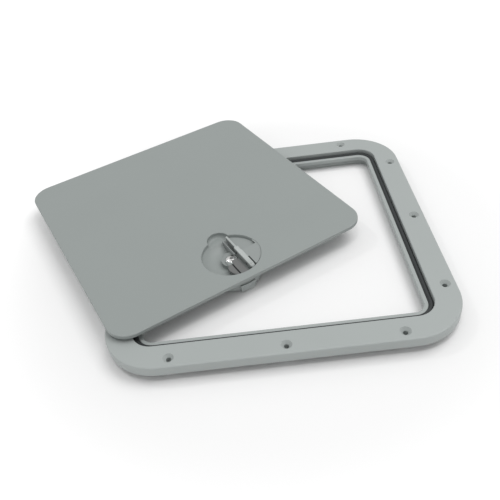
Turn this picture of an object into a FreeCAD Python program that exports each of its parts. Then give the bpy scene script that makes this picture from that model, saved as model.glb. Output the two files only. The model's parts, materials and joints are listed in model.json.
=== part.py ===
# Deck access hatch: moulded frame, rubber seal, and a lift-off lid with a turning latch.
# The lid lies slantwise across the frame. Origin: middle of the frame at deck level, +Z up.
import FreeCAD, Part
import math
import os

import Sketcher

# Driving sizes in mm and degrees. Depths are measured down from the lid's top face.
SIZES = {
    # frame, seen from above
    "frame_size": 375.0,
    "frame_corner": 58.0,
    "flange_height": 11.4,
    "flange_round": 1.7,
    "flange_skin": 3.2,
    "flange_wall": 3.0,
    "frame_rib": 2.2,
    "corner_rib_step": 22.0,
    # rebate, seal channel and lip
    "step_inset": 29.2,
    "step_corner": 22.0,
    "step_lead": 0.6,
    "channel_floor": 3.4,
    "channel_skin": 2.8,
    "channel_wall": 2.6,
    "channel_width": 5.8,
    "lip_width": 4.5,
    "lip_height": 2.1,
    "lip_round": 1.4,
    # coaming that goes through the deck
    "coaming_inset": 30.5,
    "coaming_wall": 2.8,
    "coaming_depth": 10.0,
    "coaming_lead": 1.0,
    # screw holes of the flange
    "screw_pitch": 118.5,
    "screw_inset": 11.7,
    "screw_hole": 5.3,
    "sink_width": 11.6,
    "boss_width": 13.0,
    # seal
    "seal_gap": 0.2,
    "seal_height": 3.9,
    "seal_crown": 1.6,
    # lid
    "lid_overlap": 4.2,
    "lid_corner": 26.0,
    "lid_skin": 4.4,
    "lid_round": 1.1,
    "lid_x": -103.15,
    "lid_y": 61.06,
    "lid_turn": 27.64,
    "skirt_gap": 0.7,
    "skirt_width": 4.2,
    "skirt_depth": 4.3,
    "lid_rib": 2.0,
    "lid_rib_depth": 3.0,
    "lid_rib_pitch": 74.0,
    # hook lugs under the back of the lid
    "hook_spread": 140.0,
    "hook_length": 34.0,
    "hook_web": 3.0,
    "hook_foot": 3.6,
    "hook_reach": 6.0,
    "hook_clear": 1.0,
    # latch cup in the lid
    "cup_inset": 45.3,
    "cup_rim": 34.7,
    "cup_draft": 0.5,
    "cup_wall": 4.4,
    "cup_lead": 0.5,
    "cup_floor": 15.0,
    "cup_depth": 13.4,
    "cup_skin": 1.9,
    "cup_edge": 1.5,
    "cup_boss": 11.0,
    "cup_boss_drop": 2.2,
    "notch_radius": 13.5,
    "notch_reach": 44.7,
    "notch_depth": 7.0,
    "notch_round": 4.0,
    # turning hub
    "shaft_radius": 6.0,
    "shaft_clear": 0.06,
    "turn_gap": 0.35,
    "hub_drum": 12.5,
    "hub_top_depth": 7.7,
    "hub_arm_depth": 6.4,
    "hub_seat_depth": 10.5,
    "hub_well": 7.3,
    "wing_left": 9.6,
    "wing_right": 13.1,
    "wing_far": 5.0,
    "hinge_room_left": 5.5,
    "hinge_room_right": 15.2,
    "hinge_room_depth": 8.6,
    "wing_reach": 29.6,
    "wing_lead": 0.9,
    "wing_slot": 1.3,
    "wing_slot_depth": 2.0,
    "square_size": 8.3,
    "square_length": 4.0,
    "square_clear": 0.15,
    # half-moon grip and its hinge
    "grip_depth": 3.6,
    "grip_skin": 2.2,
    "grip_round": 0.4,
    "quarter_depth": 0.4,
    "strip_left": 8.3,
    "strip_right": 13.9,
    "strip_near": 27.4,
    "strip_far": 8.2,
    "strip_top": 0.1,
    "strip_depth": 7.0,
    "strip_round": 0.8,
    "blade_width": 2.4,
    "blade_top": 0.5,
    "blade_depth": 7.6,
    "blade_reach": 31.2,
    "blade_tip": 3.0,
    "blade_heel": 28.0,
    "blade_start": 7.0,
    "barrel_x": 11.0,
    "barrel_depth": 4.5,
    "lug_radius": 1.8,
    "lug_gap": 0.3,
    "near_lug_in": 19.0,
    "near_lug_out": 22.0,
    "far_lug_in": 1.0,
    "far_lug_out": 4.0,
    "lug_room_left": 7.0,
    "lug_room_right": 13.2,
    "lug_room_top": 2.4,
    "pin_radius": 1.0,
    "pin_clear": 0.06,
    "grip_slot_right": 15.7,
    "grip_slot_far": 14.5,
    # cam under the lid
    "cam_radius": 34.5,
    "cam_rim": 5.5,
    "cam_rim_clear": 0.6,
    "cam_bottom_depth": 27.0,
    "cam_skin": 3.0,
    "cam_side": 2.6,
    "cam_half_angle": 40.0,
    "cam_inner_angle": 34.0,
    "cam_hub": 11.0,
    "cam_round": 1.2,
    "nose_radius": 36.4,
    "nose_width": 19.0,
    "nose_back": 24.0,
    "nose_drop": 1.5,
    "nose_round": 0.8,
    # fasteners and washers
    "screw_radius": 2.5,
    "screw_clear": 0.15,
    "screw_tail": 0.8,
    "head_radius": 5.6,
    "head_height": 2.7,
    "head_round": 2.0,
    "socket_across": 4.0,
    "socket_depth": 1.9,
    "washer_skin": 1.0,
    "head_washer_radius": 6.5,
    "thrust_skin": 0.8,
    "thrust_radius": 10.5,
    "cam_washer_radius": 7.2,
    "nut_across": 8.0,
    "nut_height": 3.4,
    "nut_room": 0.8,
    "ring_width": 1.7,
    "ring_seat": 2.1,
}

# Sizes worked out from the ones above.
DERIVED = {
    "zero": "=0",
    "step_size": "=frame_size - 2 * step_inset",
    "lip_size": "=step_size - 2 * channel_width",
    "lip_corner": "=step_corner - channel_width",
    "opening_size": "=lip_size - 2 * lip_width",
    "opening_corner": "=lip_corner - lip_width",
    "coaming_size": "=frame_size - 2 * coaming_inset",
    "coaming_corner": "=step_corner + step_inset - coaming_inset",
    "coaming_inside": "=coaming_size - 2 * coaming_wall",
    "coaming_inside_corner": "=coaming_corner - coaming_wall",
    "cavity_size": "=frame_size - 2 * flange_wall",
    "cavity_corner": "=frame_corner - flange_wall",
    "cavity_height": "=flange_height - flange_skin",
    "channel_outside": "=step_size + 2 * channel_wall",
    "channel_outside_corner": "=step_corner + channel_wall",
    "step_depth": "=flange_height - channel_floor",
    "ledge_under": "=channel_floor - channel_skin",
    "ledge_cut": "=coaming_depth + ledge_under",
    "lip_top": "=channel_floor + lip_height",
    "screw_row": "=frame_size / 2 - screw_inset",
    "sink_depth": "=(sink_width - screw_hole) / 2",
    "rib_in": "=channel_outside / 2 - 0.5",
    "rib_out": "=cavity_size / 2 + 0.5",
    "boss_half": "=boss_width / 2",
    "boss_left": "=0 - screw_pitch - boss_half",
    "boss_right": "=boss_half - screw_pitch",
    "rib_a0": "=screw_pitch / 2 - frame_rib / 2",
    "rib_a1": "=screw_pitch / 2 + frame_rib / 2",
    "rib_b0": "=screw_pitch + corner_rib_step - frame_rib / 2",
    "rib_b1": "=screw_pitch + corner_rib_step + frame_rib / 2",
    "seal_outside": "=step_size - 2 * seal_gap",
    "seal_outside_corner": "=step_corner - seal_gap",
    "seal_inside": "=lip_size + 2 * seal_gap",
    "seal_inside_corner": "=lip_corner + seal_gap",
    "lid_size": "=step_size + 2 * lid_overlap",
    "lid_level": "=flange_height + skirt_depth + lid_skin",
    "skirt_outside": "=step_size - 2 * skirt_gap",
    "skirt_outside_corner": "=lid_corner - lid_overlap - skirt_gap",
    "skirt_inside": "=skirt_outside - 2 * skirt_width",
    "skirt_inside_corner": "=skirt_outside_corner - skirt_width",
    "lid_rib_reach": "=skirt_inside / 2 + 1",
    "lid_rib_low": "=lid_skin + lid_rib_depth",
    "lid_rib_half": "=lid_rib / 2",
    "lid_rib_p0": "=lid_rib_pitch - lid_rib / 2",
    "lid_rib_p1": "=lid_rib_pitch + lid_rib / 2",
    "ledge_depth": "=flange_height + lid_skin - ledge_under",
    "plate_mid": "=lid_skin / 2",
    "hook_start": "=(hook_spread - hook_length) / 2",
    "hook_out": "=opening_size / 2 - hook_clear",
    "hook_in": "=hook_out - hook_web",
    "hook_tip": "=hook_out + hook_reach",
    "hook_top": "=ledge_depth + hook_clear",
    "hook_bottom": "=hook_top + hook_foot",
    "latch_back": "=lid_size / 2 - cup_inset",
    "latch_x": "=lid_x + latch_back * sin(lid_turn)",
    "latch_y": "=lid_y - latch_back * cos(lid_turn)",
    "cut_over": "=1",
    "cut_reach": "=cup_rim + 8",
    "cut_depth": "=cup_depth + 10",
    "cup_top_radius": "=cup_rim + cup_lead",
    "cup_wall_radius": "=cup_rim - cup_draft",
    "cup_outer": "=cup_rim + cup_edge",
    "cup_outer_wall": "=lid_skin + 0.2",
    "cup_under": "=cup_depth + cup_skin",
    "cup_boss_under": "=cup_under + cup_boss_drop",
    "shaft_bore": "=shaft_radius + shaft_clear",
    "ring_outer": "=shaft_radius + ring_width",
    "ring_bore": "=ring_outer + turn_gap",
    "ring_bore_depth": "=cup_depth + ring_seat",
    "notch_offset": "=latch_back - notch_reach + notch_radius",
    "notch_top_radius": "=notch_radius + cup_lead",
    "notch_flat": "=notch_radius - notch_round",
    "notch_side": "=notch_depth - notch_round",
    "notch_outer": "=notch_radius + cup_skin",
    "notch_under": "=notch_depth + cup_skin",
    "notch_outer_flat": "=notch_outer - notch_round",
    "notch_outer_side": "=notch_under - notch_round",
    "dish_radius": "=((cup_wall_radius - cup_floor)^2 + (cup_depth - cup_wall)^2) / (2 * (cup_depth - cup_wall))",
    "sweep_radius": "=dish_radius - turn_gap",
    "sweep_end": "=cup_wall_radius - turn_gap",
    "sweep_low": "=cup_depth - turn_gap",
    "sweep_high": "=cup_depth - dish_radius + sqrt(sweep_radius^2 - (sweep_end - cup_floor)^2)",
    "ring_bottom": "=sweep_low + ring_width",
    "cam_top": "=cup_boss_under + turn_gap + thrust_skin",
    "drum_height": "=sweep_low - hub_top_depth",
    "arm_height": "=sweep_low - hub_arm_depth",
    "shaft_length": "=cam_top - sweep_low",
    "square_end": "=cam_top + square_length",
    "square_half": "=square_size / 2",
    "well_cut": "=hub_seat_depth - hub_arm_depth + 4",
    "lug_left": "=barrel_x - lug_radius",
    "lug_right": "=barrel_x + lug_radius",
    "lug_width": "=near_lug_out - near_lug_in",
    "lug_height": "=sweep_low - barrel_depth",
    "hinge_length": "=near_lug_out + far_lug_out",
    "hinge_room_top": "=sweep_low - hinge_room_depth",
    "hinge_room_near": "=wing_reach + 2",
    "hinge_room_far": "=hub_drum + 2",
    "wing_slot_a": "=0 - wing_slot / 2 - 1",
    "wing_slot_b": "=wing_slot / 2 - 1",
    "wing_left_near": "=sqrt(wing_reach^2 - wing_left^2)",
    "wing_right_near": "=sqrt(wing_reach^2 - wing_right^2)",
    "wing_slot_near": "=wing_reach + 1",
    "wing_slot_far": "=hub_drum - 1",
    "screw_bore": "=screw_radius + screw_clear",
    "pin_hole": "=pin_radius + pin_clear",
    "grip_radius": "=cup_wall_radius - turn_gap",
    "grip_low": "=grip_depth + grip_skin",
    "quarter_height": "=grip_low - quarter_depth",
    "moon_edge": "=sqrt(grip_radius^2 - barrel_x^2)",
    "strip_length": "=strip_near + strip_far",
    "blade_left": "=barrel_x - blade_width / 2",
    "near_room_in": "=near_lug_in - lug_gap",
    "near_room_out": "=near_lug_out + lug_gap",
    "far_room_in": "=far_lug_in - lug_gap",
    "far_room_out": "=far_lug_out + lug_gap",
    "lug_room_height": "=strip_depth - lug_room_top",
    "grip_cut_near": "=grip_radius + 1",
    "cam_rim_depth": "=ledge_depth + cam_rim_clear",
    "cam_height": "=cam_bottom_depth - cam_top",
    "cam_hollow": "=cam_height - cam_skin",
    "cam_rim_height": "=cam_top - cam_rim_depth",
    "cam_rim_inside": "=cam_radius - cam_rim",
    "cam_hollow_out": "=cam_radius - cam_side",
    "cam_hollow_in": "=cam_hub - 1",
    "cam_ox": "=cam_radius * sin(cam_half_angle)",
    "cam_oy": "=0 - cam_radius * cos(cam_half_angle)",
    "cam_ix": "=cam_rim_inside * sin(cam_half_angle)",
    "cam_iy": "=0 - cam_rim_inside * cos(cam_half_angle)",
    "hollow_ox": "=cam_hollow_out * sin(cam_inner_angle)",
    "hollow_oy": "=0 - cam_hollow_out * cos(cam_inner_angle)",
    "hollow_ix": "=cam_hollow_in * sin(cam_inner_angle)",
    "hollow_iy": "=0 - cam_hollow_in * cos(cam_inner_angle)",
    "nose_bottom_depth": "=cam_bottom_depth + nose_drop",
    "nose_half": "=nose_width / 2",
    "nose_side": "=0 - sqrt(nose_radius^2 - nose_half^2)",
    "nose_height": "=nose_bottom_depth - cam_top",
    "hole_half": "=square_size / 2 + square_clear",
    "cam_seat": "=square_end + 0.4",
    "nut_bay": "=cam_washer_radius + nut_room",
    "nut_bay_height": "=cam_bottom_depth - cam_seat",
    "washer_bottom": "=hub_seat_depth - washer_skin",
    "head_top": "=washer_bottom - head_height",
    "head_side": "=head_top + head_round",
    "head_flat": "=head_radius - head_round",
    "nut_top": "=cam_seat + washer_skin",
    "nut_bottom": "=nut_top + nut_height",
    "screw_end": "=nut_bottom + screw_tail",
    "socket_corner": "=socket_across / 2 / cos(30)",
    "socket_corner_half": "=socket_corner / 2",
    "socket_flat": "=socket_across / 2",
    "nut_corner": "=nut_across / 2 / cos(30)",
    "nut_corner_half": "=nut_corner / 2",
    "nut_flat": "=nut_across / 2",
}

os.makedirs("parts", exist_ok=True)
doc = FreeCAD.newDocument("hatch")
sheet = doc.addObject("Spreadsheet::Sheet", "sizes")
for row, (alias, value) in enumerate(list(SIZES.items()) + list(DERIVED.items()), start=1):
    sheet.set("A%d" % row, alias)
    sheet.set("B%d" % row, str(value))
    sheet.setAlias("B%d" % row, alias)
doc.recompute()


# The number behind a size name, which may carry a minus sign.
def number(name):
    if name.startswith("-"):
        return -float(sheet.get(name[1:]))
    return float(sheet.get(name))


# The expression that ties a value to a size name.
def tie(name):
    if name.startswith("-"):
        return "-sizes." + name[1:]
    return "sizes." + name


def new_body(name, place=None):
    body = doc.addObject("PartDesign::Body", name)
    body.Label = name
    if place:
        x, y, z, turn = place
        body.Placement = FreeCAD.Placement(FreeCAD.Vector(0, 0, 0), FreeCAD.Rotation(0.1, 0, 0))
        body.setExpression("Placement.Base.x", tie(x))
        body.setExpression("Placement.Base.y", tie(y))
        body.setExpression("Placement.Base.z", tie(z))
        body.setExpression("Placement.Rotation.Angle", tie(turn))
    return body


def origin_feature(body, role):
    return [item for item in body.Origin.OriginFeatures if item.Role == role][0]


def new_sketch(body, name, level="zero", role="XY_Plane"):
    sketch = body.newObject("Sketcher::SketchObject", name)
    sketch.AttachmentSupport = (origin_feature(body, role), [""])
    sketch.MapMode = "FlatFace"
    sketch.setExpression("AttachmentOffset.Base.z", tie(level))
    return sketch


def fix(sketch, kind, *args):
    return sketch.addConstraint(Sketcher.Constraint(kind, *args))


def fix_size(sketch, name, kind, *args):
    index = fix(sketch, kind, *args, number(name))
    sketch.setExpression("Constraints[%d]" % index, tie(name))


# Ties one end of a sketch edge to a place given by two size names.
def fix_point(sketch, edge, end, place):
    for name, kind, axis in ((place[0], "DistanceX", -2), (place[1], "DistanceY", -1)):
        if name == "zero":
            fix(sketch, "PointOnObject", edge, end, axis)
        else:
            fix_size(sketch, name, kind, -1, 1, edge, end)


# Square with round corners, centred on the sketch origin.
def add_square(sketch, width, corner):
    first = sketch.GeometryCount
    half = number(width) / 2
    radius = number(corner)
    for side in range(4):
        turn = FreeCAD.Rotation(FreeCAD.Vector(0, 0, 1), 90 * side)
        start = turn.multVec(FreeCAD.Vector(radius - half, -half, 0))
        end = turn.multVec(FreeCAD.Vector(half - radius, -half, 0))
        sketch.addGeometry(Part.LineSegment(start, end))
    for side in range(4):
        turn = FreeCAD.Rotation(FreeCAD.Vector(0, 0, 1), 90 * side)
        centre = turn.multVec(FreeCAD.Vector(half - radius, radius - half, 0))
        circle = Part.Circle(centre, FreeCAD.Vector(0, 0, 1), radius)
        begin = math.radians(90 * side - 90)
        sketch.addGeometry(Part.ArcOfCircle(circle, begin, begin + math.pi / 2))
    for side in range(4):
        fix(sketch, "Tangent", first + side, 2, first + 4 + side, 1)
        fix(sketch, "Tangent", first + 4 + side, 2, first + (side + 1) % 4, 1)
    fix(sketch, "Symmetric", first, 1, first, 2, -2)
    fix(sketch, "Symmetric", first + 1, 1, first + 1, 2, -1)
    fix(sketch, "Horizontal", first + 2)
    fix(sketch, "Vertical", first + 3)
    for side in range(1, 4):
        fix(sketch, "Equal", first + 4, first + 4 + side)
    fix(sketch, "Equal", first, first + 1)
    fix_size(sketch, corner, "Radius", first + 4)
    fix_size(sketch, width, "DistanceX", first + 3, 1, first + 1, 2)


def add_circle(sketch, radius, place=("zero", "zero")):
    centre = FreeCAD.Vector(number(place[0]), number(place[1]), 0)
    edge = sketch.addGeometry(Part.Circle(centre, FreeCAD.Vector(0, 0, 1), number(radius)))
    if place == ("zero", "zero"):
        fix(sketch, "Coincident", edge, 3, -1, 1)
    else:
        fix_point(sketch, edge, 3, place)
    fix_size(sketch, radius, "Radius", edge)


# Centre of the arc from one point to another that leaves "near" along the given direction.
def tangent_centre(near, far, direction):
    normal = FreeCAD.Vector(-direction.y, direction.x, 0).normalize()
    chord = far - near
    return near + normal * (chord.Length ** 2 / (2 * chord.dot(normal)))


# Centre of the arc of given radius between two points, on the origin's side.
def radius_centre(start, end, radius):
    middle = (start + end) * 0.5
    chord = end - start
    normal = FreeCAD.Vector(-chord.y, chord.x, 0).normalize()
    reach = math.sqrt(radius ** 2 - (chord.Length / 2) ** 2)
    one = middle + normal * reach
    other = middle - normal * reach
    return one if one.Length < other.Length else other


# Closed outline through points given by size names. "arcs" maps the number of an edge to
# "next" or "back" (tangent to that neighbour) or to the name of its radius.
def add_outline(sketch, points, arcs=None):
    arcs = arcs or {}
    count = len(points)
    spots = [FreeCAD.Vector(number(x), number(y), 0) for x, y in points]
    ends = []
    for index in range(count):
        start = spots[index]
        end = spots[(index + 1) % count]
        rule = arcs.get(index)
        if rule is None:
            edge = sketch.addGeometry(Part.LineSegment(start, end))
            ends.append((edge, 1, 2))
            continue
        if rule == "next":
            centre = tangent_centre(end, start, spots[(index + 2) % count] - end)
        elif rule == "back":
            centre = tangent_centre(start, end, start - spots[index - 1])
        else:
            centre = radius_centre(start, end, number(rule))
        circle = Part.Circle(centre, FreeCAD.Vector(0, 0, 1), (start - centre).Length)
        first = math.atan2(start.y - centre.y, start.x - centre.x)
        last = math.atan2(end.y - centre.y, end.x - centre.x)
        if (last - first) % (2 * math.pi) < math.pi:
            edge = sketch.addGeometry(Part.ArcOfCircle(circle, first, last))
            ends.append((edge, 1, 2))
        else:
            edge = sketch.addGeometry(Part.ArcOfCircle(circle, last, first))
            ends.append((edge, 2, 1))
    for index in range(count):
        edge, _, tail = ends[index]
        after, head, _ = ends[(index + 1) % count]
        smooth = arcs.get(index) == "next" or arcs.get((index + 1) % count) == "back"
        fix(sketch, "Tangent" if smooth else "Coincident", edge, tail, after, head)
        fix_point(sketch, after, head, points[(index + 1) % count])
    for index, rule in arcs.items():
        if rule not in ("next", "back"):
            fix_size(sketch, rule, "Radius", ends[index][0])


def add_hexagon(sketch, corner, half, flat):
    add_outline(sketch, [(corner, "zero"), (half, flat), ("-" + half, flat), ("-" + corner, "zero"),
                         ("-" + half, "-" + flat), (half, "-" + flat)])


def add_box(sketch, left, right, near, far):
    add_outline(sketch, [(left, near), (right, near), (right, far), (left, far)])


def extrude(body, kind, sketch, length, back=False):
    feature = body.newObject("PartDesign::" + kind, sketch.Name + "_" + kind.lower())
    feature.Profile = sketch
    feature.Reversed = back
    feature.setExpression("Length", tie(length))
    doc.recompute()
    return feature


def turn_profile(body, kind, sketch):
    feature = body.newObject("PartDesign::" + kind, sketch.Name + "_" + kind.lower())
    feature.Profile = sketch
    feature.ReferenceAxis = (sketch, ["V_Axis"])
    feature.Angle = 360
    doc.recompute()
    return feature


def quarter_turns(body, feature):
    pattern = body.newObject("PartDesign::PolarPattern", feature.Name + "_around")
    pattern.Originals = [feature]
    pattern.Axis = (origin_feature(body, "Z_Axis"), [""])
    pattern.Angle = 360
    pattern.Occurrences = 4
    body.Tip = pattern
    doc.recompute()


# Names of the flat edges of a body at one level whose ends pass a test.
def edges_at(body, level, test):
    names = []
    for index, edge in enumerate(body.Tip.Shape.Edges, start=1):
        box = edge.BoundBox
        if box.ZMax - box.ZMin > 0.02 or abs(box.ZMin - level) > 0.02:
            continue
        if all(test(vertex.Point) for vertex in edge.Vertexes):
            names.append("Edge%d" % index)
    return names


def on_square(half):
    return lambda point: abs(max(abs(point.x), abs(point.y)) - half) < 0.02


def soften_edges(body, name, names, size, kind="Fillet"):
    base = body.Tip
    feature = body.newObject("PartDesign::" + kind, name)
    feature.Base = (base, names)
    feature.setExpression("Radius" if kind == "Fillet" else "Size", tie(size))
    body.Tip = feature
    doc.recompute()


def square_sketch(body, name, loops, level="zero"):
    sketch = new_sketch(body, name, level)
    for width, corner in loops:
        add_square(sketch, width, corner)
    return sketch


def make_frame():
    body = new_body("deck_frame")
    extrude(body, "Pad", square_sketch(body, "flange", [("frame_size", "frame_corner")]), "flange_height")
    coaming = square_sketch(body, "coaming", [("coaming_size", "coaming_corner")])
    extrude(body, "Pad", coaming, "coaming_depth", back=True)
    well = square_sketch(body, "rebate", [("step_size", "step_corner")], "flange_height")
    extrude(body, "Pocket", well, "step_depth")
    lip = square_sketch(body, "lip", [("lip_size", "lip_corner")], "channel_floor")
    extrude(body, "Pad", lip, "lip_height")
    opening = square_sketch(body, "opening", [("opening_size", "opening_corner")], "lip_top")
    extrude(body, "Pocket", opening, "frame_size")
    inside = square_sketch(body, "ledge", [("coaming_inside", "coaming_inside_corner")], "-coaming_depth")
    extrude(body, "Pocket", inside, "ledge_cut", back=True)
    cavity = square_sketch(body, "cavity", [("cavity_size", "cavity_corner"),
                                            ("channel_outside", "channel_outside_corner")])
    extrude(body, "Pocket", cavity, "cavity_height", back=True)
    bosses = new_sketch(body, "screw_boss")
    ribs = new_sketch(body, "flange_rib")
    holes = new_sketch(body, "screw_hole", "flange_height")
    add_box(bosses, "-boss_half", "boss_half", "-rib_out", "-rib_in")
    add_box(bosses, "boss_left", "boss_right", "-rib_out", "-rib_in")
    add_box(bosses, "-boss_right", "-boss_left", "-rib_out", "-rib_in")
    for sign in ("", "-"):
        add_box(ribs, sign + "rib_a0", sign + "rib_a1", "-rib_out", "-rib_in")
        add_box(ribs, sign + "rib_b0", sign + "rib_b1", "-rib_out", "-rib_in")
    quarter_turns(body, extrude(body, "Pad", bosses, "cavity_height"))
    quarter_turns(body, extrude(body, "Pad", ribs, "cavity_height"))
    for place in ("-screw_pitch", "zero", "screw_pitch"):
        centre = FreeCAD.Vector(number(place), -number("screw_row"), 0)
        edge = holes.addGeometry(Part.Circle(centre, FreeCAD.Vector(0, 0, 1), number("screw_hole") / 2))
        fix_point(holes, edge, 3, (place, "-screw_row"))
        fix_size(holes, "screw_hole", "Diameter", edge)
    doc.recompute()
    drill = body.newObject("PartDesign::Hole", "screw_drill")
    drill.Profile = holes
    drill.Threaded = False
    drill.DepthType = "ThroughAll"
    drill.setExpression("Diameter", tie("screw_hole"))
    drill.HoleCutType = "Countersink"
    drill.HoleCutCustomValues = True
    drill.setExpression("HoleCutDiameter", tie("sink_width"))
    drill.HoleCutCountersinkAngle = 90
    doc.recompute()
    quarter_turns(body, drill)
    top = number("flange_height")
    soften_edges(body, "flange_edge", edges_at(body, top, on_square(number("frame_size") / 2)), "flange_round")
    rebate = edges_at(body, top, on_square(number("step_size") / 2))
    soften_edges(body, "rebate_edge", rebate, "step_lead", "Chamfer")
    lip_test = on_square(number("opening_size") / 2)
    soften_edges(body, "lip_edge", edges_at(body, number("lip_top"), lip_test), "lip_round")
    low = edges_at(body, -number("coaming_depth"), on_square(number("coaming_size") / 2))
    soften_edges(body, "coaming_edge", low, "coaming_lead", "Chamfer")
    return body


def make_seal():
    body = new_body("rim_seal")
    ring = square_sketch(body, "seal", [("seal_outside", "seal_outside_corner"),
                                        ("seal_inside", "seal_inside_corner")], "channel_floor")
    extrude(body, "Pad", ring, "seal_height")
    top = number("channel_floor") + number("seal_height")
    edges = edges_at(body, top, on_square(number("seal_outside") / 2))
    edges += edges_at(body, top, on_square(number("seal_inside") / 2))
    soften_edges(body, "seal_top", edges, "seal_crown", "Chamfer")
    return body


# The cup's cutting outline: bevelled rim, short wall, smooth dish and flat floor.
def cut_cup(body, level):
    sketch = new_sketch(body, "cup", level, "XZ_Plane")
    add_outline(sketch, [("zero", "cut_over"), ("cup_top_radius", "cut_over"), ("cup_top_radius", "zero"),
                         ("cup_rim", "-cup_lead"), ("cup_wall_radius", "-cup_wall"),
                         ("cup_floor", "-cup_depth"), ("zero", "-cup_depth")],
                {4: "next"})
    turn_profile(body, "Groove", sketch)


def make_lid():
    body = new_body("lid_panel", ("lid_x", "lid_y", "lid_level", "lid_turn"))
    plate = square_sketch(body, "plate", [("lid_size", "lid_corner")], "-lid_skin")
    extrude(body, "Pad", plate, "lid_skin")
    skirt = square_sketch(body, "skirt", [("skirt_outside", "skirt_outside_corner"),
                                          ("skirt_inside", "skirt_inside_corner")], "-lid_skin")
    extrude(body, "Pad", skirt, "skirt_depth", back=True)
    along = new_sketch(body, "ribs_along", "-lid_rib_low")
    across = new_sketch(body, "ribs_across", "-lid_rib_low")
    for near, far in (("-lid_rib_p1", "-lid_rib_p0"), ("-lid_rib_half", "lid_rib_half"),
                      ("lid_rib_p0", "lid_rib_p1")):
        add_box(along, "-lid_rib_reach", "lid_rib_reach", near, far)
        add_box(across, near, far, "-lid_rib_reach", "lid_rib_reach")
    extrude(body, "Pad", along, "lid_rib_depth")
    extrude(body, "Pad", across, "lid_rib_depth")
    hook = new_sketch(body, "hook", "hook_start", "YZ_Plane")
    add_outline(hook, [("hook_in", "-plate_mid"), ("hook_in", "-hook_bottom"), ("hook_tip", "-hook_bottom"),
                       ("hook_tip", "-hook_top"), ("hook_out", "-hook_top"), ("hook_out", "-plate_mid")])
    pair = extrude(body, "Pad", hook, "hook_length")
    mirrored = body.newObject("PartDesign::Mirrored", "hook_pair")
    mirrored.Originals = [pair]
    mirrored.MirrorPlane = (origin_feature(body, "YZ_Plane"), [""])
    body.Tip = mirrored
    doc.recompute()
    bowl = new_sketch(body, "bowl", "latch_back", "XZ_Plane")
    add_outline(bowl, [("zero", "-plate_mid"), ("cup_outer", "-plate_mid"), ("cup_outer", "-cup_outer_wall"),
                       ("cup_floor", "-cup_under"), ("cup_boss", "-cup_under"),
                       ("cup_boss", "-cup_boss_under"), ("zero", "-cup_boss_under")],
                {2: "next"})
    turn_profile(body, "Revolution", bowl)
    lobe = new_sketch(body, "notch_back", "notch_offset", "XZ_Plane")
    add_outline(lobe, [("zero", "-plate_mid"), ("notch_outer", "-plate_mid"), ("notch_outer", "-notch_outer_side"),
                       ("notch_outer_flat", "-notch_under"), ("zero", "-notch_under")],
                {2: "next"})
    turn_profile(body, "Revolution", lobe)
    notch = new_sketch(body, "notch", "notch_offset", "XZ_Plane")
    add_outline(notch, [("zero", "cut_over"), ("notch_top_radius", "cut_over"), ("notch_top_radius", "zero"),
                        ("notch_radius", "-cup_lead"), ("notch_radius", "-notch_side"),
                        ("notch_flat", "-notch_depth"), ("zero", "-notch_depth")],
                {4: "next"})
    turn_profile(body, "Groove", notch)
    cut_cup(body, "latch_back")
    bore = new_sketch(body, "shaft_bore", "latch_back", "XZ_Plane")
    add_outline(bore, [("zero", "zero"), ("ring_bore", "zero"), ("ring_bore", "-ring_bore_depth"),
                       ("shaft_bore", "-ring_bore_depth"), ("shaft_bore", "-cut_depth"),
                       ("zero", "-cut_depth")])
    turn_profile(body, "Groove", bore)
    edges = edges_at(body, 0, on_square(number("lid_size") / 2))
    soften_edges(body, "lid_edge", edges, "lid_round")
    return body


LATCH = ("latch_x", "latch_y", "lid_level", "lid_turn")


# Cuts away what would rub on the cup when the latch turns.
def clear_cup(body, name):
    sketch = new_sketch(body, name, "zero", "XZ_Plane")
    add_outline(sketch, [("cup_floor", "-sweep_low"), ("sweep_end", "-sweep_high"), ("cut_reach", "-sweep_high"),
                         ("cut_reach", "-cut_depth"), ("cup_floor", "-cut_depth")],
                {0: "sweep_radius"})
    return turn_profile(body, "Groove", sketch)


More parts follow.
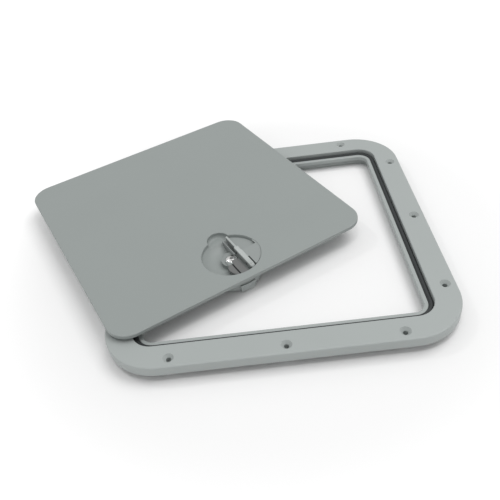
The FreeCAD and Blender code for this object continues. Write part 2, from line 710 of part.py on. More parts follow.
def make_hub():
    body = new_body("turn_hub", LATCH)
    drum = new_sketch(body, "drum", "-sweep_low")
    add_circle(drum, "hub_drum")
    extrude(body, "Pad", drum, "drum_height")
    wing = new_sketch(body, "wing", "-sweep_low")
    add_outline(wing, [("-wing_left", "-wing_left_near"), ("wing_right", "-wing_right_near"),
                       ("wing_right", "wing_far"), ("lug_left", "wing_far"), ("lug_left", "zero"),
                       ("-wing_left", "zero")],
                {0: "wing_reach"})
    extrude(body, "Pad", wing, "arm_height")
    edges = edges_at(body, -number("hub_arm_depth"), lambda point: point.x < -9 or point.y < -25)
    soften_edges(body, "wing_edge", edges, "wing_lead", "Chamfer")
    room = new_sketch(body, "hinge_room", "-hinge_room_depth")
    add_box(room, "hinge_room_left", "hinge_room_right", "-hinge_room_near", "hinge_room_far")
    extrude(body, "Pocket", room, "hinge_room_depth", back=True)
    lugs = new_sketch(body, "lugs", "-sweep_low")
    add_box(lugs, "lug_left", "lug_right", "-near_lug_out", "-near_lug_in")
    add_box(lugs, "lug_left", "lug_right", "far_lug_in", "far_lug_out")
    extrude(body, "Pad", lugs, "lug_height")
    for name, start in (("near_eye", "near_lug_in"), ("far_eye", "-far_lug_out")):
        eye = new_sketch(body, name, start, "XZ_Plane")
        add_circle(eye, "lug_radius", ("barrel_x", "-barrel_depth"))
        extrude(body, "Pad", eye, "lug_width")
    clear_cup(body, "hub_clearance")
    shaft = new_sketch(body, "shaft", "-sweep_low")
    add_circle(shaft, "shaft_radius")
    extrude(body, "Pad", shaft, "shaft_length", back=True)
    square = new_sketch(body, "square", "-cam_top")
    add_box(square, "-square_half", "square_half", "-square_half", "square_half")
    extrude(body, "Pad", square, "square_length", back=True)
    well = new_sketch(body, "screw_well", "-hub_seat_depth")
    add_circle(well, "hub_well")
    extrude(body, "Pocket", well, "well_cut", back=True)
    bore = new_sketch(body, "screw_bore")
    add_circle(bore, "screw_bore")
    extrude(body, "Pocket", bore, "cut_reach")
    slot = new_sketch(body, "wing_slot", "-hub_arm_depth")
    add_box(slot, "wing_slot_a", "wing_slot_b", "-wing_slot_near", "-wing_slot_far")
    extrude(body, "Pocket", slot, "wing_slot_depth")
    pin = new_sketch(body, "pin_bore", "-far_lug_out", "XZ_Plane")
    add_circle(pin, "pin_radius", ("barrel_x", "-barrel_depth"))
    extrude(body, "Pocket", pin, "hinge_length", back=True)
    check_cut(body, "pin_bore_pocket")
    return body


# A pocket that removed nothing would mean that it ran the wrong way.
def check_cut(body, name):
    feature = doc.getObject(name)
    before = feature.BaseFeature.Shape.Volume
    if before - feature.Shape.Volume < 1:
        raise RuntimeError("%s of %s removed nothing" % (name, body.Label))


def make_grip():
    body = new_body("half_moon_grip", LATCH)
    moon = new_sketch(body, "moon", "-grip_low")
    add_outline(moon, [("barrel_x", "-moon_edge"), ("grip_radius", "zero"), ("barrel_x", "moon_edge")],
                {0: "grip_radius", 1: "grip_radius"})
    extrude(body, "Pad", moon, "grip_skin")
    quarter = new_sketch(body, "near_quarter", "-grip_low")
    add_outline(quarter, [("barrel_x", "-moon_edge"), ("grip_radius", "zero"), ("barrel_x", "zero")],
                {0: "grip_radius"})
    extrude(body, "Pad", quarter, "quarter_height")
    rim = number("grip_radius")
    edges = edges_at(body, -number("quarter_depth"),
                     lambda point: abs(math.hypot(point.x, point.y) - rim) < 0.02)
    soften_edges(body, "quarter_edge", edges, "grip_round")
    strip = new_sketch(body, "strip", "-strip_far", "XZ_Plane")
    add_box(strip, "strip_left", "strip_right", "-strip_depth", "-strip_top")
    extrude(body, "Pad", strip, "strip_length")
    blade = new_sketch(body, "blade", "blade_left", "YZ_Plane")
    add_outline(blade, [("blade_start", "-blade_depth"), ("blade_heel", "-blade_depth"),
                        ("blade_reach", "-blade_tip"), ("blade_reach", "-blade_top"),
                        ("blade_start", "-blade_top")])
    extrude(body, "Pad", blade, "blade_width")
    tops = [name for name in edges_at(body, -number("strip_top"), lambda point: True)
            if body.Tip.Shape.getElement(name).Length > number("strip_far")]
    soften_edges(body, "strip_edge", tops, "strip_round")
    room = new_sketch(body, "lug_room", "-strip_depth")
    add_box(room, "lug_room_left", "lug_room_right", "-near_room_out", "-near_room_in")
    add_box(room, "lug_room_left", "lug_room_right", "far_room_in", "far_room_out")
    extrude(body, "Pocket", room, "lug_room_height", back=True)
    slot = new_sketch(body, "grip_slot", "-blade_depth")
    add_outline(slot, [("lug_room_left", "-grip_cut_near"), ("grip_slot_right", "-grip_cut_near"),
                       ("grip_slot_right", "-grip_slot_far"), ("strip_right", "-grip_slot_far"),
                       ("strip_right", "-strip_near"), ("lug_room_left", "-strip_near")])
    extrude(body, "Pocket", slot, "blade_depth", back=True)
    clear_cup(body, "grip_clearance")
    pin = new_sketch(body, "pin_room", "-far_room_in", "XZ_Plane")
    add_circle(pin, "pin_hole", ("barrel_x", "-barrel_depth"))
    extrude(body, "Pocket", pin, "hinge_length", back=True)
    check_cut(body, "pin_room_pocket")
    return body


def make_cam():
    body = new_body("latch_cam", LATCH)
    fan = new_sketch(body, "fan", "-cam_top")
    add_outline(fan, [("zero", "zero"), ("-cam_ox", "cam_oy"), ("cam_ox", "cam_oy")], {1: "cam_radius"})
    extrude(body, "Pad", fan, "cam_height", back=True)
    hollow = new_sketch(body, "hollow", "-cam_bottom_depth")
    add_outline(hollow, [("-hollow_ix", "hollow_iy"), ("-hollow_ox", "hollow_oy"), ("hollow_ox", "hollow_oy"),
                         ("hollow_ix", "hollow_iy")],
                {1: "cam_hollow_out", 3: "cam_hollow_in"})
    extrude(body, "Pocket", hollow, "cam_hollow", back=True)
    rim = new_sketch(body, "rim", "-cam_top")
    add_outline(rim, [("-cam_ix", "cam_iy"), ("-cam_ox", "cam_oy"), ("cam_ox", "cam_oy"), ("cam_ix", "cam_iy")],
                {1: "cam_radius", 3: "cam_rim_inside"})
    extrude(body, "Pad", rim, "cam_rim_height")
    hub = new_sketch(body, "cam_boss", "-cam_top")
    add_circle(hub, "cam_hub")
    extrude(body, "Pad", hub, "cam_height", back=True)
    radius = number("cam_radius")
    edges = edges_at(body, -number("cam_bottom_depth"),
                     lambda point: abs(math.hypot(point.x, point.y) - radius) < 0.02)
    soften_edges(body, "fan_edge", edges, "cam_round")
    nose = new_sketch(body, "nose", "-cam_top")
    add_outline(nose, [("-nose_half", "-nose_back"), ("-nose_half", "nose_side"), ("nose_half", "nose_side"),
                       ("nose_half", "-nose_back")],
                {1: "nose_radius"})
    extrude(body, "Pad", nose, "nose_height", back=True)
    low = -number("nose_bottom_depth")
    soften_edges(body, "nose_edge", edges_at(body, low, lambda point: True), "nose_round")
    hole = new_sketch(body, "square_hole", "-cam_top")
    add_box(hole, "-hole_half", "hole_half", "-hole_half", "hole_half")
    extrude(body, "Pocket", hole, "cam_height")
    bay = new_sketch(body, "nut_bay", "-cam_bottom_depth")
    add_circle(bay, "nut_bay")
    extrude(body, "Pocket", bay, "nut_bay_height", back=True)
    return body


def make_screw():
    body = new_body("clamp_screw", LATCH)
    sketch = new_sketch(body, "screw", "zero", "XZ_Plane")
    add_outline(sketch, [("zero", "-head_top"), ("head_flat", "-head_top"), ("head_radius", "-head_side"),
                         ("head_radius", "-washer_bottom"), ("screw_radius", "-washer_bottom"),
                         ("screw_radius", "-screw_end"), ("zero", "-screw_end")],
                {1: "next"})
    turn_profile(body, "Revolution", sketch)
    socket = new_sketch(body, "socket", "-head_top")
    add_hexagon(socket, "socket_corner", "socket_corner_half", "socket_flat")
    extrude(body, "Pocket", socket, "socket_depth")
    return body


def make_washer(name, hole, rim, bottom, height):
    body = new_body(name, LATCH)
    sketch = new_sketch(body, name + "_outline", "-" + bottom)
    add_circle(sketch, rim)
    add_circle(sketch, hole)
    extrude(body, "Pad", sketch, height)
    return body


def make_nut():
    body = new_body("lock_nut", LATCH)
    sketch = new_sketch(body, "nut", "-nut_bottom")
    add_hexagon(sketch, "nut_corner", "nut_corner_half", "nut_flat")
    add_circle(sketch, "screw_radius")
    extrude(body, "Pad", sketch, "nut_height")
    return body


def make_pin():
    body = new_body("hinge_pin", LATCH)
    sketch = new_sketch(body, "pin", "-far_lug_out", "XZ_Plane")
    add_circle(sketch, "pin_radius", ("barrel_x", "-barrel_depth"))
    extrude(body, "Pad", sketch, "hinge_length")
    return body


nodes = [
    make_frame(),
    make_seal(),
    make_lid(),
    make_hub(),
    make_grip(),
    make_cam(),
    make_screw(),
    make_washer("head_washer", "screw_bore", "head_washer_radius", "hub_seat_depth", "washer_skin"),
    make_washer("thrust_washer", "shaft_bore", "thrust_radius", "cam_top", "thrust_skin"),
    make_washer("cam_washer", "screw_bore", "cam_washer_radius", "nut_top", "washer_skin"),
    make_nut(),
    make_pin(),
    make_washer("shaft_ring", "shaft_radius", "ring_outer", "ring_bottom", "ring_width"),
]
doc.recompute()

for item in doc.Objects:
    if "Invalid" in item.State or "Error" in item.State:
        raise RuntimeError("%s did not build" % item.Label)
for node in nodes:
    if node.Shape.isNull() or not node.Shape.isValid():
        raise RuntimeError("%s has no valid shape" % node.Label)
    if len(node.Shape.Solids) != 1:
        raise RuntimeError("%s is not one solid" % node.Label)
for node in nodes:
    node.Shape.exportStep("parts/%s.step" % node.Label)
    print(node.Label, round(node.Shape.Volume / 1000.0, 2), "cm3")
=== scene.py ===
# Looks of the deck access hatch: camera, studio, materials and fine pieces, in metres.
import json
import math

import bmesh
import bpy
from mathutils import Matrix, Vector


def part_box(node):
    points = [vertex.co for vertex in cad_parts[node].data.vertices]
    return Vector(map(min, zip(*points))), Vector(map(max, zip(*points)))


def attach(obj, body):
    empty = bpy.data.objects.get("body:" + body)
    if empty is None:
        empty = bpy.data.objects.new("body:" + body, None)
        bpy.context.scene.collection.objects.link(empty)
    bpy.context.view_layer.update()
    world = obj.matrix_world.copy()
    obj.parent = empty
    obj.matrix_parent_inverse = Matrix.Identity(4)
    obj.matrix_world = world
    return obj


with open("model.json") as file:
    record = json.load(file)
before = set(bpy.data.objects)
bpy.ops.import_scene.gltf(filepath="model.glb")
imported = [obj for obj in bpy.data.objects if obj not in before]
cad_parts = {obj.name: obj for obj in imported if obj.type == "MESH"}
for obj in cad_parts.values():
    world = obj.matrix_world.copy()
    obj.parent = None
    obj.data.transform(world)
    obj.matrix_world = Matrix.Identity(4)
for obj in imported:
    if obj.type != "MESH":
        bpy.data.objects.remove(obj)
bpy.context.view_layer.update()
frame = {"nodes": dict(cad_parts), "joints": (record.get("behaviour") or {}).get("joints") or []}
nodes = frame["nodes"]

MM = 0.001

# Camera that the photograph was taken with, worked out from the frame's corners and holes.
CAMERA_PLACE = Vector((-16.33, -536.56, 460.88)) * MM
CAMERA_RIGHT = Vector((0.9932, -0.0652, -0.0966))
CAMERA_UP = Vector((0.1155, 0.6604, 0.7420))
CAMERA_LENS = 41.297
SENSOR_WIDTH = 36.0
NEAR_CLIP = 0.01

# The latch's own frame: middle of the cup at the lid's top face, X across, Y to the back.
joints = {joint["name"]: joint for joint in frame["joints"]}
LID_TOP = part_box("lid_panel")[1].z
LATCH_X, LATCH_Y, _ = joints["latch_turn"]["pos_m"]
HINGE_ALONG = joints["grip_lift"]["axis"]
LATCH_PLACE = Matrix.Translation((LATCH_X, LATCH_Y, LID_TOP)) @ Matrix.Rotation(
    math.atan2(HINGE_ALONG[0], -HINGE_ALONG[1]), 4, "Z")

# Studio: floor in metres, its colour under the object, a shade darker there as painted shade, its glow around
# the object, and the plain light.
FLOOR_LEVEL = -10.1 * MM
FLOOR_REACH = 4.0
FLOOR_NEAR_SHADE = 0.9
FLOOR_GLOW = 0.14
FLOOR_SOFT = (0.26, 0.46)
FLOOR_ROUGHNESS = 0.9
WORLD_LIGHT = 0.62

# Each softbox: its place and its side in metres, and its power in watts.
SOFTBOXES = {
    "key_softbox": ((1.45, 0.4, 3.2), 2.2, 50.0),
    "glint_softbox": ((-1.8, 0.95, 2.45), 0.25, 6.0),
    "edge_softbox": ((-0.2, -0.6, 2.6), 0.35, 7.0),
}

# Each plastic, rubber and steel: colour, roughness, spread and scale of its mottling,
# scale and depth of its grain, and specular level.
FINISHES = {
    "frame_plastic": ((0.362, 0.391, 0.383), 0.42, 0.04, 18.0, 2200.0, 0.00002, 0.5),
    "lid_plastic": ((0.28, 0.307, 0.299), 0.46, 0.04, 12.0, 2200.0, 0.00003, 0.5),
    "grip_plastic": ((0.276, 0.299, 0.293), 0.44, 0.04, 40.0, 2200.0, 0.00002, 0.5),
    "hub_plastic": ((0.24, 0.262, 0.256), 0.46, 0.04, 40.0, 2200.0, 0.00002, 0.5),
    "latch_plastic": ((0.25, 0.268, 0.264), 0.4, 0.05, 60.0, 2600.0, 0.00001, 0.5),
    # Near-black sheet that stands for the shade in the slot between the lobes: painted shade.
    "gap_painted_shade": ((0.02, 0.021, 0.021), 0.7, 0.06, 80.0, 2600.0, 0.00001, 0.2),
    # Dark plastic of the cover, darkened further as painted shade from the strip above it.
    "cover_plastic_painted_shade": ((0.15, 0.153, 0.151), 0.42, 0.06, 80.0, 2600.0, 0.00001, 0.5),
    # Paler plastic for the strip's foot: a painted highlight.
    "strip_painted_highlight": ((0.345, 0.37, 0.362), 0.44, 0.04, 60.0, 2200.0, 0.00002, 0.5),
    "slide_plastic": ((0.6, 0.6, 0.57), 0.35, 0.03, 60.0, 2600.0, 0.000005, 0.5),
    "seal_rubber": ((0.035, 0.039, 0.04), 0.62, 0.2, 40.0, 3000.0, 0.00003, 0.35),
    "stainless_steel": ((0.62, 0.62, 0.6), 0.24, 0.05, 300.0, 4000.0, 0.000002, 0.5),
    "polished_steel": ((0.9, 0.9, 0.89), 0.28, 0.02, 300.0, 4000.0, 0.000001, 0.5),
}
METALS = ("stainless_steel", "polished_steel")
MOTTLE_DETAIL = 3.0
FINE_DETAIL = 1.0
BROAD_SCALE = 45.0

# Finish of each solid from the CAD model.
NODE_FINISH = {
    "deck_frame": "frame_plastic",
    "rim_seal": "seal_rubber",
    "lid_panel": "lid_plastic",
    "turn_hub": "hub_plastic",
    "half_moon_grip": "grip_plastic",
    "latch_cam": "frame_plastic",
    "clamp_screw": "stainless_steel",
    "head_washer": "stainless_steel",
    "thrust_washer": "slide_plastic",
    "cam_washer": "stainless_steel",
    "lock_nut": "stainless_steel",
    "hinge_pin": "stainless_steel",
    "shaft_ring": "seal_rubber",
}

# The grip's strip in mm, whose top carries a painted highlight: its sides, its soft right edge and the level
# that its top lies above.
STRIP_LEFT = 8.0
STRIP_RIGHT = 14.0
STRIP_SOFT = 0.2
STRIP_LEVEL = -1.6
# Paler colour of the strip's top: a painted highlight.
STRIP_HIGHLIGHT_COLOUR = (0.435, 0.462, 0.452)
# Where the strip's painted highlight fades along the latch's Y, in mm, and from what to what.
STRIP_HIGHLIGHT_FADES = [(-31.0, -14.0, 0.45, 1.0), (7.0, 10.0, 1.0, 0.7)]

# All sizes below are in mm in the latch's own frame, with levels counted from the lid's top.
# Dish of the cup: a flat middle and a round rise to the wall.
DISH_FLAT = 15.0
DISH_DEPTH = 13.4
DISH_RADIUS = 24.98

# Hub's wall along the finger well.
WALL_X = 4.2
WALL_THICK = 1.2
WALL_NEAR = 1.0
WALL_FAR = 30.0
WALL_TOP = -3.2
WALL_GAP = 0.4
WALL_STEPS = 16
WALL_EDGE = 0.3

# Cover over the hub's near arm, with a round near end and these corners at its far end.
COVER_REACH = 31.4
COVER_LEFT = -4.0
COVER_RIGHT = 5.2
COVER_FAR = [(COVER_RIGHT, -11.6), (3.6, -10.0), (-2.4, -10.0), (COVER_LEFT, -11.8)]
COVER_LEVELS = (-6.5, -5.4)
COVER_STEPS = 8
COVER_EDGE = 0.3

# Lower root of the cover beside the screw.
ROOT_OUTLINE = [(COVER_RIGHT, -10.4), (COVER_RIGHT, 2.0), (-2.0, 2.0), (-2.8, -4.0), (-3.4, -10.4)]
ROOT_LEVELS = (-6.7, -6.1)
ROOT_EDGE = 0.25

# Lobe on the cover's left, and a near-black sheet of painted shade in the slot between the two.
LOBE_OUTLINE = [(-5.6, -9.6), (-8.6, -9.4), (-10.6, -10.6), (-12.4, -13.6), (-12.9, -16.8),
                (-12.4, -20.0), (-10.9, -24.2), (-9.2, -27.2), (-7.6, -28.9), (-5.6, -29.4)]
LOBE_LEVELS = (-9.6, -5.6)
LOBE_EDGE = 0.4
GAP_OUTLINE = [(-5.9, -9.8), (-5.9, -29.0), (-3.8, -29.3), (-3.8, -9.8)]
GAP_LEVELS = (-9.6, -5.7)
GAP_EDGE = 0.1

# Round boss on the cover's root, as distances from its middle and levels.
BOSS_PLACE = (3.1, -2.4)
BOSS_PROFILE = [(1.2, -6.2), (1.2, -5.85), (1.55, -5.5), (2.1, -5.5), (2.5, -5.9), (2.5, -6.2)]
BOSS_STEPS = 32

# Polished dome of the screw's head, on the side that the cover leaves open.
DOME_CURVE = 14.0
DOME_TOP = -5.6
DOME_FOOT = -8.2
DOME_INNER = 2.6
DOME_OUTER = 7.0
DOME_ROWS = 8
DOME_ANGLES = (75.0, 290.0)
DOME_STEPS = 36

# Lip round the grip's flush quarter, which reaches over the cup's edge.
LIP_PROFILE = [(33.0, -0.42), (34.55, -0.06), (34.12, -0.52), (34.12, -1.2), (33.0, -1.2)]
LIP_ANGLES = (-61.0, 12.0)
LIP_STEPS = 48

# Near end of the grip's strip, which slopes down to the cup's wall; its paler colour is a painted highlight.
FOOT_OUTLINE = [(8.35, -27.3), (8.35, -29.4), (10.2, -31.3), (12.0, -31.0), (13.9, -30.1), (13.9, -27.3)]
FOOT_LEVELS = (-2.6, -0.15)
FOOT_EDGE = 0.4
FOOT_START = -27.6
FOOT_SLOPE = 0.55

EDGE_ANGLE = math.radians(32)
EDGE_SEGMENTS = 3
FULL_TURN = 360.0


def add_camera():
    data = bpy.data.cameras.new("camera")
    data.lens = CAMERA_LENS
    data.sensor_width = SENSOR_WIDTH
    data.clip_start = NEAR_CLIP
    camera = bpy.data.objects.new("camera", data)
    right = CAMERA_RIGHT.normalized()
    back = right.cross(CAMERA_UP).normalized()
    up = back.cross(right)
    turn = Matrix((right, up, back)).transposed()
    camera.matrix_world = Matrix.Translation(CAMERA_PLACE) @ turn.to_4x4()
    bpy.context.scene.collection.objects.link(camera)
    bpy.context.scene.camera = camera


def new_material(name):
    material = bpy.data.materials.new(name)
    material.use_nodes = True
    tree = material.node_tree
    tree.nodes.clear()
    output = tree.nodes.new("ShaderNodeOutputMaterial")
    shader = tree.nodes.new("ShaderNodeBsdfPrincipled")
    tree.links.new(shader.outputs["BSDF"], output.inputs["Surface"])
    return material, tree, shader


def new_group(name, inputs, outputs):
    group = bpy.data.node_groups.new(name, "ShaderNodeTree")
    for label, kind, default in inputs:
        socket = group.interface.new_socket(label, in_out="INPUT", socket_type=kind)
        socket.default_value = default
    for label, kind in outputs:
        group.interface.new_socket(label, in_out="OUTPUT", socket_type=kind)
    start = group.nodes.new("NodeGroupInput")
    end = group.nodes.new("NodeGroupOutput")
    return group, start, end


# Soft mottling of a moulded surface: a colour a little lighter and darker, and its gloss.
def make_mottle_group():
    group, start, end = new_group(
        "moulded_mottle",
        [("Colour", "NodeSocketColor", (0.4, 0.42, 0.41, 1.0)), ("Spread", "NodeSocketFloat", 0.05),
         ("Roughness", "NodeSocketFloat", 0.4), ("Scale", "NodeSocketFloat", 30.0)],
        [("Colour", "NodeSocketColor"), ("Roughness", "NodeSocketFloat")])
    place = group.nodes.new("ShaderNodeTexCoord")
    noise = group.nodes.new("ShaderNodeTexNoise")
    noise.inputs["Detail"].default_value = MOTTLE_DETAIL
    group.links.new(place.outputs["Object"], noise.inputs["Vector"])
    group.links.new(start.outputs["Scale"], noise.inputs["Scale"])
    centred = group.nodes.new("ShaderNodeMath")
    centred.operation = "SUBTRACT"
    centred.inputs[1].default_value = 0.5
    group.links.new(noise.outputs["Fac"], centred.inputs[0])
    swing = group.nodes.new("ShaderNodeMath")
    swing.operation = "MULTIPLY"
    group.links.new(centred.outputs[0], swing.inputs[0])
    group.links.new(start.outputs["Spread"], swing.inputs[1])
    value = group.nodes.new("ShaderNodeMath")
    value.operation = "ADD"
    value.inputs[1].default_value = 1.0
    group.links.new(swing.outputs[0], value.inputs[0])
    tint = group.nodes.new("ShaderNodeHueSaturation")
    group.links.new(start.outputs["Colour"], tint.inputs["Color"])
    group.links.new(value.outputs[0], tint.inputs["Value"])
    group.links.new(tint.outputs["Color"], end.inputs["Colour"])
    gloss = group.nodes.new("ShaderNodeMath")
    gloss.operation = "ADD"
    group.links.new(swing.outputs[0], gloss.inputs[0])
    group.links.new(start.outputs["Roughness"], gloss.inputs[1])
    group.links.new(gloss.outputs[0], end.inputs["Roughness"])
    return group


# Fine grain of a spark-eroded mould, as a height.
def make_grain_group():
    group, start, end = new_group(
        "mould_grain",
        [("Scale", "NodeSocketFloat", 1800.0), ("Swell", "NodeSocketFloat", 0.2)],
        [("Height", "NodeSocketFloat")])
    place = group.nodes.new("ShaderNodeTexCoord")
    fine = group.nodes.new("ShaderNodeTexNoise")
    fine.inputs["Detail"].default_value = FINE_DETAIL
    group.links.new(place.outputs["Object"], fine.inputs["Vector"])
    group.links.new(start.outputs["Scale"], fine.inputs["Scale"])
    broad = group.nodes.new("ShaderNodeTexNoise")
    broad.inputs["Scale"].default_value = BROAD_SCALE
    group.links.new(place.outputs["Object"], broad.inputs["Vector"])
    scaled = group.nodes.new("ShaderNodeMath")
    scaled.operation = "MULTIPLY"
    group.links.new(broad.outputs["Fac"], scaled.inputs[0])
    group.links.new(start.outputs["Swell"], scaled.inputs[1])
    total = group.nodes.new("ShaderNodeMath")
    total.operation = "ADD"
    group.links.new(fine.outputs["Fac"], total.inputs[0])
    group.links.new(scaled.outputs[0], total.inputs[1])
    group.links.new(total.outputs[0], end.inputs["Height"])
    return group


mottle_group = make_mottle_group()
grain_group = make_grain_group()


def finish_material(name):
    colour, roughness, spread, scale, grain_scale, grain_depth, specular = FINISHES[name]
    material, tree, shader = new_material(name)
    mottle = tree.nodes.new("ShaderNodeGroup")
    mottle.name = "mottle"
    mottle.node_tree = mottle_group
    mottle.inputs["Colour"].default_value = (*colour, 1.0)
    mottle.inputs["Spread"].default_value = spread
    mottle.inputs["Roughness"].default_value = roughness
    mottle.inputs["Scale"].default_value = scale
    grain = tree.nodes.new("ShaderNodeGroup")
    grain.node_tree = grain_group
    grain.inputs["Scale"].default_value = grain_scale
    bump = tree.nodes.new("ShaderNodeBump")
    bump.inputs["Strength"].default_value = 1.0
    bump.inputs["Distance"].default_value = grain_depth
    tree.links.new(grain.outputs["Height"], bump.inputs["Height"])
    tree.links.new(mottle.outputs["Colour"], shader.inputs["Base Color"])
    tree.links.new(mottle.outputs["Roughness"], shader.inputs["Roughness"])
    tree.links.new(bump.outputs["Normal"], shader.inputs["Normal"])
    shader.inputs["Specular IOR Level"].default_value = specular
    if name in METALS:
        shader.inputs["Metallic"].default_value = 1.0
    return material, tree, shader


# Mask of the painted highlight on the strip that runs along the grip's straight side, 1 on the strip.
def make_strip_highlight_group():
    group, start, end = new_group(
        "strip_highlight_mask",
        [("Left", "NodeSocketFloat", STRIP_LEFT * MM), ("Right", "NodeSocketFloat", STRIP_RIGHT * MM),
         ("Soft", "NodeSocketFloat", STRIP_SOFT * MM)],
        [("Mask", "NodeSocketFloat")])
    place = group.nodes.new("ShaderNodeTexCoord")
    turned = group.nodes.new("ShaderNodeMapping")
    turned.vector_type = "TEXTURE"
    turned.inputs["Location"].default_value = LATCH_PLACE.to_translation()
    turned.inputs["Rotation"].default_value = LATCH_PLACE.to_euler()
    group.links.new(place.outputs["Object"], turned.inputs["Vector"])
    split = group.nodes.new("ShaderNodeSeparateXYZ")
    group.links.new(turned.outputs["Vector"], split.inputs["Vector"])
    inside = group.nodes.new("ShaderNodeMath")
    inside.operation = "GREATER_THAN"
    group.links.new(split.outputs["X"], inside.inputs[0])
    group.links.new(start.outputs["Left"], inside.inputs[1])
    outside = group.nodes.new("ShaderNodeMapRange")
    outside.inputs["To Min"].default_value = 1.0
    outside.inputs["To Max"].default_value = 0.0
    fade = group.nodes.new("ShaderNodeMath")
    fade.operation = "ADD"
    group.links.new(start.outputs["Right"], fade.inputs[0])
    group.links.new(start.outputs["Soft"], fade.inputs[1])
    group.links.new(split.outputs["X"], outside.inputs["Value"])
    group.links.new(start.outputs["Right"], outside.inputs["From Min"])
    group.links.new(fade.outputs[0], outside.inputs["From Max"])
    mask = group.nodes.new("ShaderNodeMath")
    mask.operation = "MULTIPLY"
    group.links.new(inside.outputs[0], mask.inputs[0])
    group.links.new(outside.outputs["Result"], mask.inputs[1])
    top = group.nodes.new("ShaderNodeMath")
    top.operation = "GREATER_THAN"
    top.inputs[1].default_value = STRIP_LEVEL * MM
    group.links.new(split.outputs["Z"], top.inputs[0])
    total = group.nodes.new("ShaderNodeMath")
    total.operation = "MULTIPLY"
    group.links.new(mask.outputs[0], total.inputs[0])
    group.links.new(top.outputs[0], total.inputs[1])
    faded = total
    for start_at, end_at, at_start, at_end in STRIP_HIGHLIGHT_FADES:
        ramp = group.nodes.new("ShaderNodeMapRange")
        ramp.interpolation_type = "SMOOTHSTEP"
        ramp.inputs["From Min"].default_value = start_at * MM
        ramp.inputs["From Max"].default_value = end_at * MM
        ramp.inputs["To Min"].default_value = at_start
        ramp.inputs["To Max"].default_value = at_end
        group.links.new(split.outputs["Y"], ramp.inputs["Value"])
        product = group.nodes.new("ShaderNodeMath")
        product.operation = "MULTIPLY"
        group.links.new(faded.outputs[0], product.inputs[0])
        group.links.new(ramp.outputs["Result"], product.inputs[1])
        faded = product
    group.links.new(faded.outputs[0], end.inputs["Mask"])
    return group


# The grip is moulded like the lid, with a painted highlight that makes its strip paler.
def add_strip_highlight(tree, shader):
    mottle = tree.nodes["mottle"]
    strip = tree.nodes.new("ShaderNodeGroup")
    strip.node_tree = make_strip_highlight_group()
    blend = tree.nodes.new("ShaderNodeMix")
    blend.data_type = "RGBA"
    # The strip's paler colour is mixed in here as a painted highlight.
    blend.inputs["B"].default_value = (*STRIP_HIGHLIGHT_COLOUR, 1.0)
    tree.links.new(strip.outputs["Mask"], blend.inputs["Factor"])
    tree.links.new(mottle.outputs["Colour"], blend.inputs["A"])
    tree.links.new(blend.outputs["Result"], shader.inputs["Base Color"])


def make_materials():
    made = {}
    for name in FINISHES:
        material, tree, shader = finish_material(name)
        # Only the grip's material carries the strip's painted highlight.
        if name == "grip_plastic":
            add_strip_highlight(tree, shader)
        made[name] = material
    return made


def dress_nodes():
    for name, finish in NODE_FINISH.items():
        piece = nodes[name]
        piece.data.materials.clear()
        piece.data.materials.append(materials[finish])


# Level of the cup's dish at a distance from its middle, in mm below the lid's top.
def dish_level(reach):
    if reach <= DISH_FLAT:
        return -DISH_DEPTH
    centre = DISH_RADIUS - DISH_DEPTH
    return centre - math.sqrt(DISH_RADIUS ** 2 - (reach - DISH_FLAT) ** 2)


# A plate from an outline, standing along the latch's Y axis or lying flat in it.
def latch_plate(name, outline, levels, edge, standing=False, body="latch", finish="latch_plastic", slope=0.0):
    low, high = levels
    build = bmesh.new()
    for across, up in outline:
        build.verts.new((low, across, up) if standing else (across, up, low))
    face = build.faces.new(build.verts)
    thick = (high - low, 0, 0) if standing else (0, 0, high - low)
    side = bmesh.ops.extrude_face_region(build, geom=[face])
    moved = [item for item in side["geom"] if isinstance(item, bmesh.types.BMVert)]
    bmesh.ops.translate(build, verts=moved, vec=thick)
    bmesh.ops.recalc_face_normals(build, faces=build.faces)
    corners = [item for item in build.edges if item.calc_face_angle(0) > EDGE_ANGLE]
    bmesh.ops.bevel(build, geom=corners, offset=edge, segments=EDGE_SEGMENTS, profile=0.5,
                    affect="EDGES", material=-1)
    for corner in build.verts:
        corner.co.z -= slope * max(0.0, FOOT_START - corner.co.y)
    finish_piece(name, build, body, finish)


# A ring, or a part of one, from a profile of distances and levels that is spun about a place.
def latch_ring(name, profile, angles, steps, finish, body="latch", middle=(0.0, 0.0)):
    first, last = angles
    whole = last - first == FULL_TURN
    build = bmesh.new()
    face = build.faces.new([build.verts.new((reach, 0, level)) for reach, level in profile])
    if whole:
        bmesh.ops.delete(build, geom=[face], context="FACES_ONLY")
    bmesh.ops.rotate(build, verts=build.verts, cent=(0, 0, 0),
                     matrix=Matrix.Rotation(math.radians(first), 3, "Z"))
    bmesh.ops.spin(build, geom=build.verts[:] + build.edges[:] + build.faces[:], cent=(0, 0, 0),
                   axis=(0, 0, 1), angle=math.radians(last - first), steps=steps, use_merge=whole)
    bmesh.ops.translate(build, verts=build.verts, vec=(*middle, 0))
    finish_piece(name, build, body, finish)


# Sets a piece from the latch's frame into the world, with its finish and body.
def finish_piece(name, build, body, finish):
    bmesh.ops.transform(build, verts=build.verts, matrix=LATCH_PLACE @ Matrix.Scale(MM, 4))
    bmesh.ops.recalc_face_normals(build, faces=build.faces)
    for face in build.faces:
        face.smooth = True
    mesh = bpy.data.meshes.new(name)
    build.to_mesh(mesh)
    build.free()
    mesh.set_sharp_from_angle(angle=EDGE_ANGLE)
    mesh.materials.append(materials[finish])
    piece = bpy.data.objects.new(name, mesh)
    bpy.context.scene.collection.objects.link(piece)
    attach(piece, body)


# Wall of the hub that stands along the finger well, from the dish up to below the strip.
def add_well_wall():
    outline = [(WALL_NEAR, WALL_TOP)]
    for step in range(WALL_STEPS + 1):
        along = WALL_NEAR + (WALL_FAR - WALL_NEAR) * step / WALL_STEPS
        outline.append((along, dish_level(math.hypot(WALL_X, along)) + WALL_GAP))
    outline.append((WALL_FAR, WALL_TOP))
    latch_plate("well_wall", outline, (WALL_X, WALL_X + WALL_THICK), WALL_EDGE, standing=True)
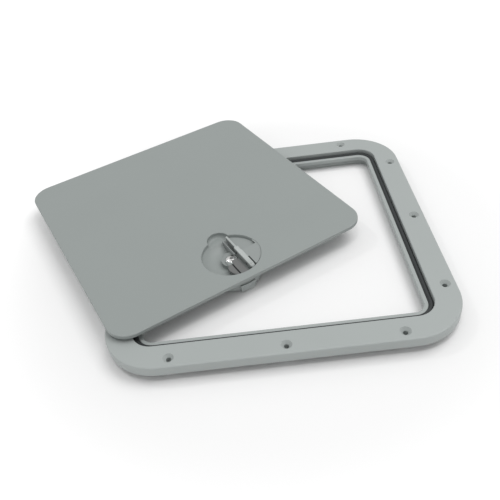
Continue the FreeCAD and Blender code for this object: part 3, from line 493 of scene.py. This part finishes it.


# Cover over the hub's near arm, its lower root, the lobe on its left and the slot between; the cover, root
# and lobe are a dark plastic darkened further as painted shade, and the slot holds a near-black sheet of
# painted shade.
def add_hub_cover():
    outline = []
    first = -math.acos(COVER_LEFT / COVER_REACH)
    last = -math.acos(COVER_RIGHT / COVER_REACH)
    for step in range(COVER_STEPS + 1):
        angle = first + (last - first) * step / COVER_STEPS
        outline.append((COVER_REACH * math.cos(angle), COVER_REACH * math.sin(angle)))
    outline += COVER_FAR
    latch_plate("hub_cover", outline, COVER_LEVELS, COVER_EDGE, finish="cover_plastic_painted_shade")
    latch_plate("cover_root", ROOT_OUTLINE, ROOT_LEVELS, ROOT_EDGE, finish="cover_plastic_painted_shade")
    latch_plate("left_lobe", LOBE_OUTLINE, LOBE_LEVELS, LOBE_EDGE, finish="cover_plastic_painted_shade")
    latch_plate("lobe_gap_painted_shade", GAP_OUTLINE, GAP_LEVELS, GAP_EDGE, finish="gap_painted_shade")


def add_cover_boss():
    latch_ring("cover_boss", BOSS_PROFILE, (0.0, FULL_TURN), BOSS_STEPS, "latch_plastic", middle=BOSS_PLACE)


def add_head_dome():
    profile = []
    for row in range(DOME_ROWS + 1):
        reach = DOME_INNER + (DOME_OUTER - DOME_INNER) * row / DOME_ROWS
        profile.append((reach, DOME_TOP - DOME_CURVE + math.sqrt(DOME_CURVE ** 2 - reach ** 2)))
    profile += [(DOME_OUTER, DOME_FOOT), (DOME_INNER, DOME_FOOT)]
    latch_ring("head_dome", profile, DOME_ANGLES, DOME_STEPS, "polished_steel")


def add_grip_lip():
    latch_ring("grip_lip", LIP_PROFILE, LIP_ANGLES, LIP_STEPS, "grip_plastic", body="grip")


def add_strip_foot():
    latch_plate("strip_foot", FOOT_OUTLINE, FOOT_LEVELS, FOOT_EDGE, body="grip",
                finish="strip_painted_highlight", slope=FOOT_SLOPE)


def add_floor():
    mesh = bpy.data.meshes.new("floor")
    build = bmesh.new()
    bmesh.ops.create_grid(build, x_segments=1, y_segments=1, size=FLOOR_REACH)
    bmesh.ops.translate(build, verts=build.verts, vec=(0, 0, FLOOR_LEVEL))
    build.to_mesh(mesh)
    build.free()
    floor = bpy.data.objects.new("floor", mesh)
    bpy.context.scene.collection.objects.link(floor)
    material, tree, shader = new_material("floor_white")
    place = tree.nodes.new("ShaderNodeTexCoord")
    reach = tree.nodes.new("ShaderNodeVectorMath")
    reach.operation = "LENGTH"
    tree.links.new(place.outputs["Object"], reach.inputs[0])
    # Near the object the floor's colour is darker as painted shade; further out it glows to white.
    for socket, near, far in (("Base Color", FLOOR_NEAR_SHADE, 1.0), ("Emission Strength", 0.0, FLOOR_GLOW)):
        ramp = tree.nodes.new("ShaderNodeMapRange")
        ramp.interpolation_type = "SMOOTHSTEP"
        ramp.inputs["From Min"].default_value = FLOOR_SOFT[0]
        ramp.inputs["From Max"].default_value = FLOOR_SOFT[1]
        ramp.inputs["To Min"].default_value = near
        ramp.inputs["To Max"].default_value = far
        tree.links.new(reach.outputs["Value"], ramp.inputs["Value"])
        tree.links.new(ramp.outputs["Result"], shader.inputs[socket])
    clear = tree.nodes.new("ShaderNodeBsdfTransparent")
    side = tree.nodes.new("ShaderNodeNewGeometry")
    either = tree.nodes.new("ShaderNodeMixShader")
    tree.links.new(side.outputs["Backfacing"], either.inputs["Fac"])
    tree.links.new(shader.outputs["BSDF"], either.inputs[1])
    tree.links.new(clear.outputs["BSDF"], either.inputs[2])
    tree.links.new(either.outputs["Shader"], tree.nodes["Material Output"].inputs["Surface"])
    shader.inputs["Emission Color"].default_value = (1.0, 1.0, 1.0, 1.0)
    shader.inputs["Roughness"].default_value = FLOOR_ROUGHNESS
    shader.inputs["Specular IOR Level"].default_value = 0.0
    mesh.materials.append(material)


# A square lamp that points at the middle of the frame.
def add_lamp(name, place, side, power):
    data = bpy.data.lights.new(name, "AREA")
    data.shape = "SQUARE"
    data.size = side
    data.energy = power
    lamp = bpy.data.objects.new(name, data)
    turn = Vector(place).to_track_quat("Z", "Y")
    lamp.matrix_world = Matrix.Translation(Vector(place)) @ turn.to_matrix().to_4x4()
    bpy.context.scene.collection.objects.link(lamp)


def add_studio():
    world = bpy.data.worlds.new("studio")
    world.use_nodes = True
    background = world.node_tree.nodes["Background"]
    background.inputs["Color"].default_value = (1.0, 1.0, 1.0, 1.0)
    seen = world.node_tree.nodes.new("ShaderNodeLightPath")
    strength = world.node_tree.nodes.new("ShaderNodeMapRange")
    strength.inputs["To Min"].default_value = WORLD_LIGHT
    strength.inputs["To Max"].default_value = 1.0
    world.node_tree.links.new(seen.outputs["Is Camera Ray"], strength.inputs["Value"])
    world.node_tree.links.new(strength.outputs["Result"], background.inputs["Strength"])
    bpy.context.scene.world = world
    for name, (place, side, power) in SOFTBOXES.items():
        add_lamp(name, place, side, power)


add_camera()
materials = make_materials()
dress_nodes()
add_well_wall()
add_hub_cover()
add_cover_boss()
add_head_dome()
add_grip_lip()
add_strip_foot()
add_floor()
add_studio()
bpy.context.scene.view_settings.view_transform = "Standard"
